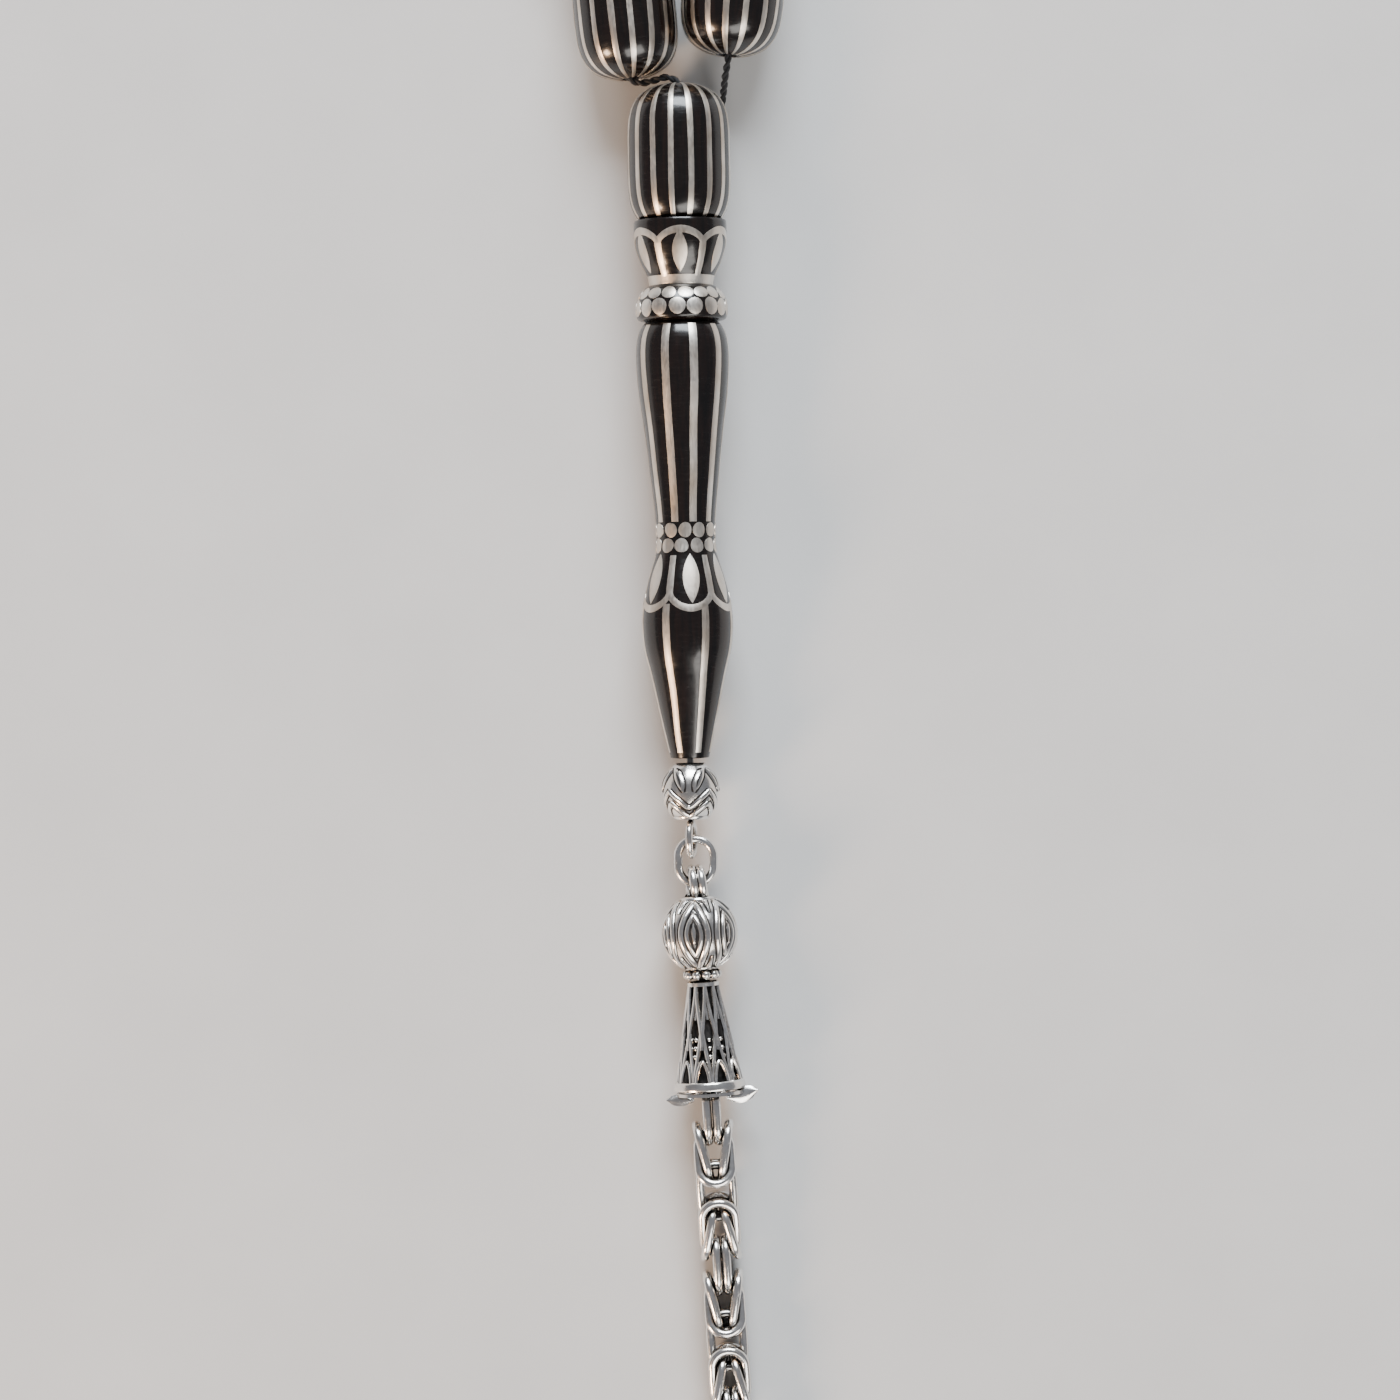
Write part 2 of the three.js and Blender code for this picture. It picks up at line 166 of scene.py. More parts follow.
def imame_frame():
    """At the middle of the imame's top."""
    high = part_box("imame_body")[1]
    axis = Vector(JOINTS["stop_ball_spin"]["axis"])
    on_axis = joint_point("stop_ball_spin")
    rim_y = high.y - RIM_RADIUS * MM * axis.z
    return place(on_axis + axis * ((rim_y - on_axis.y) / axis.y), axis)


def cap_frame():
    """On the tassel's axis, at the middle of the bail."""
    ball = middle("cap_ball")
    along = ball - joint_point("chain_link_1_bend")
    return place(ball - along.normalized() * CAP_BALL_CENTRE * MM, along)


def link_frame(number):
    here = joint_point(f"chain_link_{number}_bend")
    below = f"chain_link_{number + 1}_bend" if number < LINK_COUNT else "chain_end_bend"
    along = here - joint_point(below)
    sideways = Vector(JOINTS["chain_link_2_bend"]["axis"])
    return place(middle(f"chain_link_{number}"), along, sideways.cross(along))


IMAME = imame_frame()
CAP = cap_frame()
LOOP_ORIGIN = IMAME.translation - Vector((0, 0, BEAD_RADIUS * MM))


# ---- Camera ---------------------------------------------------------------------------------------
def make_camera():
    """Straight above the imame's lower part, turned by about a degree."""
    data = bpy.data.cameras.new("camera")
    data.angle = math.radians(CAMERA_ANGLE)
    data.clip_start = 0.01
    camera = bpy.data.objects.new("camera", data)
    camera.location = LOOP_ORIGIN + Vector(CAMERA_PLACE) * MM
    camera.rotation_euler = (0, 0, math.radians(CAMERA_TURN))
    bpy.context.scene.collection.objects.link(camera)
    bpy.context.scene.camera = camera


# ---- Mesh building --------------------------------------------------------------------------------
class Shape:
    """Points, faces and the faces' material slots, gathered for one object."""

    def __init__(self):
        self.points = []
        self.faces = []
        self.slots = []

    def add(self, points, faces, slot=0):
        base = sum(len(p) for p in self.points)
        self.points.append(np.asarray(points, float).reshape(-1, 3))
        self.faces += [tuple(base + i for i in face) for face in faces]
        self.slots += [slot] * len(faces)

    def grid(self, rows, slot=0, closed=False, capped=True):
        """Rows of points, each row a closed loop. The last row joins the first if closed."""
        rows = np.asarray(rows, float)
        count, width = rows.shape[:2]
        faces = []
        for i in range(count if closed else count - 1):
            a, b = i * width, ((i + 1) % count) * width
            for j in range(width):
                k = (j + 1) % width
                faces.append((a + j, a + k, b + k, b + j))
        if not closed and capped:
            faces.append(tuple(range(width)))
            faces.append(tuple(range((count - 1) * width, count * width)))
        self.add(rows, faces, slot)

    def build(self, name, matrix, materials, body, slot, replaces=(), sharp=40):
        mesh = bpy.data.meshes.new(name)
        mesh.from_pydata(np.concatenate(self.points) * MM, [], self.faces)
        mesh.polygons.foreach_set("material_index", self.slots)
        for material in materials:
            mesh.materials.append(material)
        work = bmesh.new()
        work.from_mesh(mesh)
        bmesh.ops.recalc_face_normals(work, faces=work.faces)
        work.to_mesh(mesh)
        work.free()
        mesh.shade_smooth()
        mesh.set_sharp_from_angle(angle=math.radians(sharp))
        obj = bpy.data.objects.new(name, mesh)
        bpy.context.scene.collection.objects.link(obj)
        obj.matrix_world = matrix
        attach(obj, body)
        if replaces:
            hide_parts(*replaces)
        return obj


def turn(outline, sides):
    """Rows of points for an outline of (radius, height) turned about Y."""
    angles = np.arange(sides) * 2 * math.pi / sides
    return [
        np.stack([r * np.sin(angles), np.full(sides, y), r * np.cos(angles)], axis=1)
        for r, y in outline
    ]


def lathe(shape, outline, sides, slot=0):
    """A turned solid with a bore, its outline a closed loop."""
    shape.grid(turn(outline, sides), slot, closed=True)


def tube(shape, path, radius, sides=10, closed=False):
    """A round wire along a path."""
    path = np.asarray(path, float)
    if closed:
        ahead = np.roll(path, -1, axis=0) - np.roll(path, 1, axis=0)
    else:
        ahead = np.gradient(path, axis=0)
    ahead /= np.linalg.norm(ahead, axis=1)[:, None]
    side = np.cross(ahead[0], (0.31, 0.17, 0.93))
    angles = np.arange(sides) * 2 * math.pi / sides
    rows = []
    for point, direction in zip(path, ahead):
        side = side - direction * np.dot(side, direction)
        side /= np.linalg.norm(side)
        other = np.cross(direction, side)
        around = np.outer(np.cos(angles), side) + np.outer(np.sin(angles), other)
        rows.append(point + radius * around)
    shape.grid(rows, closed=closed)


def ball(shape, centre, radius, sides):
    outline = [
        (radius * math.sin(a), radius * math.cos(a))
        for a in np.linspace(0.12, math.pi - 0.12, sides // 2 + 1)
    ]
    shape.grid(np.asarray(turn(outline, sides)) + np.asarray(centre))


def smooth_line(points, steps=6):
    """A centripetal Catmull-Rom curve through the points."""
    points = np.asarray(points, float)
    first, last = 2 * points[0] - points[1], 2 * points[-1] - points[-2]
    given = np.vstack([first, points, last])
    line = []
    for p0, p1, p2, p3 in zip(given, given[1:], given[2:], given[3:]):
        t1 = np.linalg.norm(p1 - p0) ** 0.5
        t2 = t1 + np.linalg.norm(p2 - p1) ** 0.5
        t3 = t2 + np.linalg.norm(p3 - p2) ** 0.5
        for t in t1 + (t2 - t1) * np.arange(steps) / steps:
            a1 = p0 * (t1 - t) / t1 + p1 * t / t1
            a2 = p1 * (t2 - t) / (t2 - t1) + p2 * (t - t1) / (t2 - t1)
            a3 = p2 * (t3 - t) / (t3 - t2) + p3 * (t - t2) / (t3 - t2)
            b1 = a1 * (t2 - t) / t2 + a2 * t / t2
            b2 = a2 * (t3 - t) / (t3 - t1) + a3 * (t - t1) / (t3 - t1)
            line.append(b1 * (t2 - t) / (t2 - t1) + b2 * (t - t1) / (t2 - t1))
    line.append(points[-1])
    return np.array(line)


class Surface:
    """A turned surface that metal is laid on. Its outline of (radius, height) runs from the top down."""

    def __init__(self, outline):
        self.outline = np.asarray(outline, float)
        steps = np.linalg.norm(np.diff(self.outline, axis=0), axis=1)
        self.run = np.concatenate([[0], np.cumsum(steps)])
        slope = np.gradient(self.outline, self.run, axis=0)
        self.normal = np.stack([-slope[:, 1], slope[:, 0]], axis=1)

    def along(self, height):
        """How far down the outline a height is."""
        return np.interp(-np.asarray(height, float), -self.outline[:, 1], self.run)

    def radius(self, run):
        return np.interp(run, self.run, self.outline[:, 0])

    def at(self, angle, run, lift):
        r, y = (np.interp(run, self.run, self.outline[:, i]) for i in (0, 1))
        nr, ny = (np.interp(run, self.run, self.normal[:, i]) for i in (0, 1))
        out = r + lift * nr
        return np.stack([out * np.sin(angle), y + lift * ny, out * np.cos(angle)], axis=-1)


# Sections of laid metal: (share of the half width, height over the surface).
INLAY = [(-1, -0.08), (-0.94, 0.022), (-0.5, 0.032), (0, 0.036), (0.5, 0.032), (0.94, 0.022), (1, -0.08)]
STRAP = [(-1, -0.1), (-0.96, 0.02), (-0.62, 0.1), (0, 0.13), (0.62, 0.1), (0.96, 0.02), (1, -0.1)]
GROOVE = [(-1, -0.1), (-0.98, 0.012), (-0.5, 0.016), (0, 0.018), (0.5, 0.016), (0.98, 0.012), (1, -0.1)]
VEIN = [(-1, 0.04), (-0.8, 0.12), (-0.4, 0.142), (0, 0.148), (0.4, 0.142), (0.8, 0.12), (1, 0.04)]
GROOVE_MARGIN = 0.12  # of black beside a strap


def ribbon(shape, surface, path, width, section=INLAY, closed=False, slot=1):
    """Metal laid along a path of (angle, run down the surface). width is one number or one a point."""
    path = np.asarray(path, float)
    angle, run = path[:, 0], path[:, 1]
    radius = surface.radius(run)
    if closed:
        turn_ahead = (np.roll(angle, -1) - np.roll(angle, 1) + math.pi) % (2 * math.pi) - math.pi
        down = np.roll(run, -1) - np.roll(run, 1)
    else:
        turn_ahead, down = np.gradient(angle), np.gradient(run)
    across = turn_ahead * radius
    size = np.hypot(across, down)
    half = np.broadcast_to(width, len(path)) / 2
    rows = [
        surface.at(
            angle - down / size * share * half / radius,
            run + across / size * share * half,
            lift,
        )
        for share, lift in section
    ]
    shape.grid(np.stack(rows, axis=1), slot, closed=closed)


# A disc's section: (share of the half width, height over the surface).
DOME = [(1, -0.1), (0.95, 0.6 * 0.05), (0.7, 0.95 * 0.05), (0.35, 1.05 * 0.05), (0.04, 1.08 * 0.05)]


def disc(shape, surface, angle, run, half_width, half_height, rng):
    """A small domed disc, a little out of round."""
    around = np.arange(16) * 2 * math.pi / 16
    lobes = 1 + 0.04 * np.sin(2 * around + rng.uniform(0, 6))
    lobes = lobes + 0.03 * np.sin(3 * around + rng.uniform(0, 6))
    tilt_angle, tilt = rng.uniform(0, 6), rng.uniform(0, 0.02)
    radius = surface.radius(run)
    rows = []
    for share, height in DOME:
        at_angle = angle + share * lobes * half_width * np.cos(around) / radius
        at_run = run + share * lobes * half_height * np.sin(around)
        leaning = height + share * tilt * np.cos(around - tilt_angle)
        rows.append(surface.at(at_angle, at_run, leaning))
    shape.grid(rows, slot=1)


# ---- Materials ------------------------------------------------------------------------------------
class Painter:
    """A new material's node tree, with short ways to add to it."""

    def __init__(self, name):
        self.material = bpy.data.materials.new(name)
        self.material.use_nodes = True
        self.nodes = self.material.node_tree.nodes
        self.links = self.material.node_tree.links
        self.surface = self.nodes["Principled BSDF"]
        self.coordinates = self.nodes.new("ShaderNodeTexCoord").outputs["Object"]

    def set(self, **values):
        for name, value in values.items():
            self.surface.inputs[name.replace("_", " ")].default_value = value

    def join(self, output, name):
        self.links.new(output, self.surface.inputs[name])

    def noise(self, scale, detail=3.0, roughness=0.55, distortion=0.0):
        """scale is how often the pattern repeats in a metre along X, Y and Z."""
        mapping = self.nodes.new("ShaderNodeMapping")
        mapping.inputs["Scale"].default_value = scale
        self.links.new(self.coordinates, mapping.inputs["Vector"])
        noise = self.nodes.new("ShaderNodeTexNoise")
        noise.inputs["Scale"].default_value = 1
        noise.inputs["Detail"].default_value = detail
        noise.inputs["Roughness"].default_value = roughness
        noise.inputs["Distortion"].default_value = distortion
        self.links.new(mapping.outputs["Vector"], noise.inputs["Vector"])
        return noise.outputs["Fac"]

    def ramp(self, output, *stops):
        ramp = self.nodes.new("ShaderNodeValToRGB")
        while len(ramp.color_ramp.elements) < len(stops):
            ramp.color_ramp.elements.new(0.5)
        for element, (position, color) in zip(ramp.color_ramp.elements, stops):
            element.position = position
            element.color = (*color, 1) if isinstance(color, tuple) else (color, color, color, 1)
        self.links.new(output, ramp.inputs["Fac"])
        return ramp.outputs["Color"]

    def spread(self, output, low, high, start=0.3, end=0.7):
        """A number that goes from low to high as output goes from start to end."""
        node = self.nodes.new("ShaderNodeMapRange")
        for name, value in zip(("From Min", "From Max", "To Min", "To Max"), (start, end, low, high)):
            node.inputs[name].default_value = value
        self.links.new(output, node.inputs["Value"])
        return node.outputs["Result"]

    def crevice_shade(self, distance):
        """Ambient occlusion, for painting shade: near 0 deep between close surfaces and 1 in the open."""
        node = self.nodes.new("ShaderNodeAmbientOcclusion")
        node.samples = 8
        node.inputs["Distance"].default_value = distance
        return node.outputs["AO"]

    def mix(self, factor, first, second):
        node = self.nodes.new("ShaderNodeMix")
        node.data_type = "RGBA"
        self.links.new(factor, node.inputs["Factor"])
        for value, name in ((first, "A"), (second, "B")):
            socket = next(s for s in node.inputs if s.name == name and s.type == "RGBA")
            if isinstance(value, tuple):
                socket.default_value = (*value, 1)
            else:
                self.links.new(value, socket)
        return next(s for s in node.outputs if s.type == "RGBA")

    def bump(self, output, distance, strength):
        node = self.nodes.new("ShaderNodeBump")
        node.inputs["Strength"].default_value = strength
        node.inputs["Distance"].default_value = distance
        self.links.new(output, node.inputs["Height"])
        self.join(node.outputs["Normal"], "Normal")


def wood():
    """Polished ebony: nearly black, with a faint red-brown grain and fine polishing scratches."""
    paint = Painter("ebony")
    grain = paint.noise((2600, 180, 2600), detail=5, distortion=0.6)
    color = paint.ramp(grain, (0.35, (0.0022, 0.0017, 0.0015)), (0.78, (0.0095, 0.0045, 0.0033)))
    paint.join(color, "Base Color")
    scratches = paint.noise((900, 5200, 900), detail=4, roughness=0.7)
    paint.join(paint.spread(scratches, 0.13, 0.3), "Roughness")
    paint.bump(scratches, 4e-6, 0.35)
    paint.set(Coat_Weight=0.2, Coat_Roughness=0.06, IOR=1.48)
    return paint.material


def inlaid_silver():
    """Hand-filed silver wire and sheet, matt from filing, warm with tarnish in places."""
    paint = Painter("inlaid_silver")
    tarnish = paint.noise((420, 260, 420), detail=3)
    color = paint.ramp(
        tarnish,
        (0.3, (0.50, 0.42, 0.34)),
        (0.52, (0.72, 0.65, 0.57)),
        (0.75, (0.86, 0.82, 0.76)),
    )
    paint.join(color, "Base Color")
    filing = paint.noise((7000, 2200, 7000), detail=4, roughness=0.7)
    paint.join(paint.spread(filing, 0.28, 0.48), "Roughness")
    paint.bump(filing, 1.2e-5, 0.5)
    paint.set(Metallic=1.0)
    return paint.material


def polished_silver():
    """Cast and drawn silver: bright, with painted shade, near black, in its crevices."""
    paint = Painter("polished_silver")
    cloud = paint.noise((600, 600, 600), detail=2)
    bright = paint.ramp(cloud, (0.3, (0.78, 0.73, 0.67)), (0.7, (0.92, 0.90, 0.87)))
    # Painted shade: the colour goes to near black where close surfaces crowd each other.
    unshaded_share = paint.spread(paint.crevice_shade(0.0012), 0.0, 1.0, 0.3, 0.78)
    paint.join(paint.mix(unshaded_share, (0.022, 0.019, 0.017), bright), "Base Color")
    wear = paint.noise((3500, 3500, 3500), detail=4, roughness=0.65)
    paint.join(paint.spread(wear, 0.14, 0.28), "Roughness")
    paint.bump(wear, 1.0e-5, 0.4)
    paint.set(Metallic=1.0)
    return paint.material


def oxide_and_shade():
    """Near-black metal: the blackened ground behind the open work, which is painted shade, and the oxide of
    the grooves and veins.
    """
    paint = Painter("oxidised_silver_and_painted_shade")
    cloud = paint.noise((2500, 2500, 2500), detail=4)
    color = paint.ramp(cloud, (0.35, (0.008, 0.007, 0.007)), (0.8, (0.05, 0.045, 0.042)))
    paint.join(color, "Base Color")
    paint.join(paint.spread(cloud, 0.45, 0.7), "Roughness")
    paint.bump(cloud, 2e-5, 0.6)
    paint.set(Metallic=0.7)
    return paint.material


def thread():
    """Black waxed thread."""
    paint = Painter("black_thread")
    fibre = paint.noise((9000, 1500, 9000), detail=4, roughness=0.7)
    color = paint.ramp(fibre, (0.35, (0.003, 0.003, 0.0035)), (0.8, (0.022, 0.022, 0.026)))
    paint.join(color, "Base Color")
    paint.join(paint.spread(fibre, 0.55, 0.85), "Roughness")
    paint.bump(fibre, 2.5e-5, 0.7)
    paint.set(Sheen_Weight=0.25)
    return paint.material


def table():
    """The pale table top under the object."""
    paint = Painter("pale_table")
    cloud = paint.noise((60, 60, 60), detail=4)
    color = paint.ramp(cloud, (0.3, (0.56, 0.56, 0.555)), (0.7, (0.60, 0.60, 0.595)))
    paint.join(color, "Base Color")
    grit = paint.noise((1800, 1800, 1800), detail=3)
    paint.join(paint.spread(grit, 0.5, 0.62), "Roughness")
    paint.bump(grit, 3e-5, 0.3)
    return paint.material


WOOD = wood()
INLAID = inlaid_silver()
SILVER = polished_silver()
OXIDE_AND_SHADE = oxide_and_shade()
THREAD = thread()


# ---- The string -----------------------------------------------------------------------------------
def strung_names():
    """The pieces on the loop after the first two beads, in order, as the string meets them."""
    pieces = [n for n in frame["nodes"] if n.startswith("bead_") and n not in ("bead_01", "bead_02")]
    pieces.sort()
    pieces.insert(pieces.index("bead_11") + 1, "marker_1")
    pieces.insert(pieces.index("bead_22") + 1, "marker_2")
    return pieces


def string_line():
    """The string's middle, in metres in the row frame."""
    def placed(points):
        return [LOOP_ORIGIN + Vector(p) * MM for p in smooth_line(points)]

    line = placed(ROUTE_OUT)
    for name in strung_names():
        axis = Vector(JOINTS[f"{name}_slide"]["axis"])
        length = MARKER_LENGTH if name.startswith("marker") else BEAD_LENGTH
        half = axis * (length + BEAD_GAP) / 2 * MM
        line += [middle(name) - half, middle(name) + half]
    line += placed(ROUTE_BACK)
    kept = [line[0]]
    for point in line[1:]:
        if (point - kept[-1]).length > LEAST_STEP * MM:
            kept.append(point)
    return kept


def even_steps(line, step):
    """Points at even steps along a line, and the line's length."""
    line = np.array(line)
    run = np.concatenate([[0], np.cumsum(np.linalg.norm(np.diff(line, axis=0), axis=1))])
    places = np.linspace(0, run[-1], int(run[-1] / step) + 1)
    return np.stack([np.interp(places, run, line[:, i]) for i in range(3)], axis=1), run[-1]


def make_string():
    """Two plies twisted together along the string's line."""
    line = string_line()
    points, length = even_steps(line, STRING_STEP * MM)
    ahead = np.gradient(points, axis=0)
    ahead /= np.linalg.norm(ahead, axis=1)[:, None]
    side = np.cross(ahead, (0.05, 0.02, 1))
    side /= np.linalg.norm(side, axis=1)[:, None]
    other = np.cross(ahead, side)
    twist = np.arange(len(points)) * 2 * math.pi * STRING_STEP / TWIST_LENGTH
    shape = Shape()
    for phase in (0, math.pi):
        around = np.cos(twist + phase)[:, None] * side + np.sin(twist + phase)[:, None] * other
        tube(shape, points / MM + around * PLY_OFFSET, PLY_RADIUS, sides=6)
    where = Matrix.Identity(4)
    string = shape.build("twisted_string", where, [THREAD], "imame", "thread", ["string"])
    knot = make_knot()


def make_knot():
    """The knot that ties both strands inside the imame's foot."""
    shape = Shape()
    t = np.linspace(0, 2 * math.pi, 90, endpoint=False)
    reach = 0.45 + 0.2 * np.cos(3 * t)
    line = np.stack([reach * np.cos(2 * t), 0.5 * np.sin(3 * t), reach * np.sin(2 * t)], axis=1)
    tube(shape, line, 0.27, closed=True)
    where = place(middle("string_knot"), IMAME.col[1].xyz)
    return shape.build("thread_knot", where, [THREAD], "imame", "thread", ["string_knot"])


# ---- Beads ----------------------------------------------------------------------------------------
def barrel(length, radius, blunt, steps=40):
    """A barrel's outline from the top lip of its hole to the lower one. More blunt has squarer ends."""
    places = np.sin(np.linspace(-1, 1, steps) * math.pi / 2) * 0.995
    outline = [(radius * (1 - abs(u) ** blunt) ** 0.43, -u * length / 2) for u in places]
    return [(r, y) for r, y in outline if r > BEAD_BORE + 0.12]


def wobble(rng, count, size, waves=3):
    """A smooth random wander about 0, for edges cut by hand."""
    t = np.linspace(0, 1, count)
    total = np.zeros(count)
    for wave in range(1, waves + 1):
        total += rng.uniform(-1, 1) * np.sin(math.pi * wave * 1.7 * t + rng.uniform(0, 6)) / wave**0.5
    return size * total


def inlaid_barrel(length, radius, blunt, rng, turned, strip_width=0.49):
    """A barrel of wood with silver strips that run from hole to hole."""
    shape = Shape()
    outline = barrel(length, radius, blunt)
    end = outline[0][1]
    lip = [(BEAD_BORE + 0.03, end), (BEAD_BORE, end - 0.1)]
    bore = [(r, -y) for r, y in reversed(lip)]
    lathe(shape, [*lip[::-1], *outline, *bore[::-1]], 96)
    surface = Surface(outline)
    run = np.linspace(0.004, 0.996, 34) * surface.run[-1]
    widths = strip_width * (surface.radius(run) / radius) ** 0.78
    for i in range(BEAD_STRIPS):
        angle = turned + 2 * math.pi * i / BEAD_STRIPS + rng.gauss(0, 0.016)
        sway = wobble(rng, len(run), 0.035) / radius
        grown = widths * (1 + rng.gauss(0, 0.05)) + wobble(rng, len(run), 0.027, 6)
        ribbon(shape, surface, np.stack([angle + sway, run], axis=1), np.maximum(grown, 0.1))
    return shape


def bead_frame(name):
    joint = JOINTS.get(f"{name}_slide") or JOINTS[f"{name}_spin"]
    return place(middle(name), joint["axis"])


def make_beads():
    for name in sorted(n for n in frame["nodes"] if n.startswith(("bead_", "marker_"))):
        rng = random.Random(name)
        turned = math.radians(FIRST_STRIP.get(name, rng.uniform(0, 360)))
        if name.startswith("bead_"):
            shape = inlaid_barrel(BEAD_LENGTH, BEAD_RADIUS, 4.3, rng, turned)
        else:
            shape = inlaid_barrel(MARKER_LENGTH, MARKER_RADIUS, 2.6, rng, turned, strip_width=0.36)
        shape.build(f"{name}_inlaid", bead_frame(name), [WOOD, INLAID], name, "ebony", [name])


# ---- The imame ------------------------------------------------------------------------------------
# The imame's outline from its rim to its foot, in parts with an edge between them: (radius, height).
CUP_PART = [
    (RIM_RADIUS, -0.03), (3.6, -0.2), (3.6, -1.1), (3.5, -2), (3.05, -3.4), (2.61, -4.3), (2.42, -5.05),
]
COLLAR_PART = [
    (2.55, -5.12), (2.95, -5.4), (3.4, -6.1), (3.5, -6.45), (3.54, -7.2), (3.42, -7.68), (3.0, -7.85),
]
UPPER_BODY = [
    (2.8, -7.88), (3.1, -8.2), (3.42, -8.95), (3.57, -9.8), (3.6, -11), (3.45, -13.3),
    (3.02, -16.5), (2.71, -19.4), (2.36, -22.6), (2.29, -23.8),
]
LOWER_BODY = [
    (2.28, -24.4), (2.29, -25.3), (2.42, -26.1), (2.96, -27.9), (3.33, -29.4), (3.53, -30.6),
    (3.54, -31.9), (3.4, -33.3), (2.92, -35.3), (2.2, -38.6), (1.56, -41.5), (1.5, -41.75),
]


def imame_surface():
    parts = (CUP_PART, COLLAR_PART, UPPER_BODY, LOWER_BODY)
    return Surface([point for part in parts for point in smooth_line(part)])


def straight(surface, angle, top, bottom, steps):
    """A path straight down the surface at one angle."""
    run = surface.along(np.linspace(top, bottom, steps))
    return np.stack([np.full(steps, angle), run], axis=1)


def strips(shape, surface, rng, first_degrees, count, top, bottom, width):
    """Wavering strips straight down the surface, narrower where it is slim."""
    for i in range(count):
        path = straight(surface, math.radians(first_degrees + 360 * i / count), top, bottom, 30)
        radius = surface.radius(path[:, 1])
        path[:, 0] += wobble(rng, 30, 0.03) / radius
        ribbon(shape, surface, path, width * (radius / radius.max()) ** 0.3 + wobble(rng, 30, 0.02, 6))


def almond(shape, surface, angle, top, bottom, width, rng):
    """A leaf of sheet silver, pointed at both ends."""
    path = straight(surface, angle, top, bottom, 15)
    t = np.linspace(0, 1, 15)
    path[:, 0] += rng.gauss(0, 0.01)
    ribbon(shape, surface, path, 0.05 + (width - 0.05) * np.sin(math.pi * t) ** 0.85)


def lotus(shape, surface, rng, middle_degrees, tip, cusp, root, leaf):
    """Six petals: arches from cusp to tip, legs from cusp to root, and a leaf in each petal."""
    petals = 6
    half = math.pi / petals
    for i in range(petals):
        centre = math.radians(middle_degrees) + 2 * half * i
        across = np.linspace(-half, half, 21)
        height = cusp + (tip - cusp) * np.cos(across / half * math.pi / 2) ** 0.62
        path = np.stack([centre + across, surface.along(height)], axis=1)
        ribbon(shape, surface, path, 0.62 - 0.12 * np.abs(across / half) + wobble(rng, 21, 0.02))
        leg = straight(surface, centre + half, cusp, root, 12)
        ribbon(shape, surface, leg, np.linspace(0.62, 0.5, 12) + wobble(rng, 12, 0.02))
        almond(shape, surface, centre, leaf[0], leaf[1], leaf[2], rng)


def disc_row(shape, surface, rng, count, first_degrees, height, half_width, half_height):
    run = float(surface.along(height))
    for i in range(count):
        angle = math.radians(first_degrees + 360 * i / count) + rng.gauss(0, 0.012)
        disc(shape, surface, angle, run + rng.gauss(0, 0.02), half_width, half_height, rng)


def ring_band(shape, surface, height, width):
    """A plain band right round the surface."""
    angles = np.linspace(0, 2 * math.pi, 96, endpoint=False)
    run = np.full(96, float(surface.along(height)))
    ribbon(shape, surface, np.stack([angles, run], axis=1), width, closed=True)


def cut_notch(imame):
    """Cuts the groove in the rim. The laid metal's shells stay apart, so their edges stay clean."""
    tool = Shape()
    tube(tool, np.linspace(NOTCH_OUTER, NOTCH_INNER, 8), NOTCH_RADIUS, sides=20)
    mesh = bpy.data.meshes.new("notch_tool")
    mesh.from_pydata(np.concatenate(tool.points) * MM, [], tool.faces)
    cutter = bpy.data.objects.new("notch_tool", mesh)
    cutter.matrix_world = IMAME
    bpy.context.scene.collection.objects.link(cutter)
    modifier = imame.modifiers.new("notch", "BOOLEAN")
    modifier.operation = "DIFFERENCE"
    modifier.solver = "EXACT"
    modifier.object = cutter
    bpy.context.view_layer.update()
    evaluated = imame.evaluated_get(bpy.context.evaluated_depsgraph_get())
    cut = bpy.data.meshes.new_from_object(evaluated)
    imame.modifiers.clear()
    imame.data = cut
    bpy.data.objects.remove(cutter)


def make_imame():
    surface = imame_surface()
    rng = random.Random(7)
    seat = [(0.8, -3.2), (0.85, -2.8), (1.25, -2.2), (3.42, -0.06), (3.48, -0.01)]
    foot = [(r, y - IMAME_LENGTH) for r, y in ((1.4, 0), (1.15, 0.03), (1.15, 2.9), (0.8, 3.2))]
    shape = Shape()
    lathe(shape, [*seat, *surface.outline, *foot], 128)
    lotus(shape, surface, rng, 0, tip=-0.95, cusp=-1.95, root=-4.5, leaf=(-1.0, -4.15, 1.25))
    ring_band(shape, surface, -4.72, 0.8)
    disc_row(shape, surface, rng, 16, 5.3, -5.74, 0.61, 0.55)
    disc_row(shape, surface, rng, 16, -5.9, -6.85, 0.67, 0.71)
    strips(shape, surface, rng, 14.5, 10, -8.18, -23.45, 0.68)
    disc_row(shape, surface, rng, 12, -2, -24.1, 0.56, 0.6)
    disc_row(shape, surface, rng, 12, -8.5, -25.28, 0.56, 0.6)
    lotus(shape, surface, rng, 5.5, tip=-30.15, cusp=-28.95, root=-26.05, leaf=(-25.95, -29.75, 1.38))
    strips(shape, surface, rng, 23.7, 7, -29.8, -41.35, 0.62)
    imame = shape.build("imame_inlaid", IMAME, [WOOD, INLAID], "imame", "ebony", ["imame_body"])
    cut_notch(imame)


# ---- Wire rings and eyes --------------------------------------------------------------------------
def oval(half_length, half_width, count=44):
    """A closed line in the XY plane: half circles joined by straight sides along Y."""
    angles = np.arange(count) * 2 * math.pi / count
    x, y = half_width * np.cos(angles), half_width * np.sin(angles)
    return np.stack([x, y + np.sign(np.round(y, 6)) * (half_length - half_width), 0 * x], axis=1)


def wire_ring(shape, centre, lengthwise, sideways, half_length, half_width, wire):
    """A wire ring whose long way is lengthwise and whose width is sideways."""
    line = oval(half_length, half_width)
    along, across = (np.asarray(v, float) / np.linalg.norm(v) for v in (lengthwise, sideways))
    path = np.asarray(centre, float) + line[:, 1:2] * along + line[:, :1] * across
    tube(shape, path, wire, closed=True)


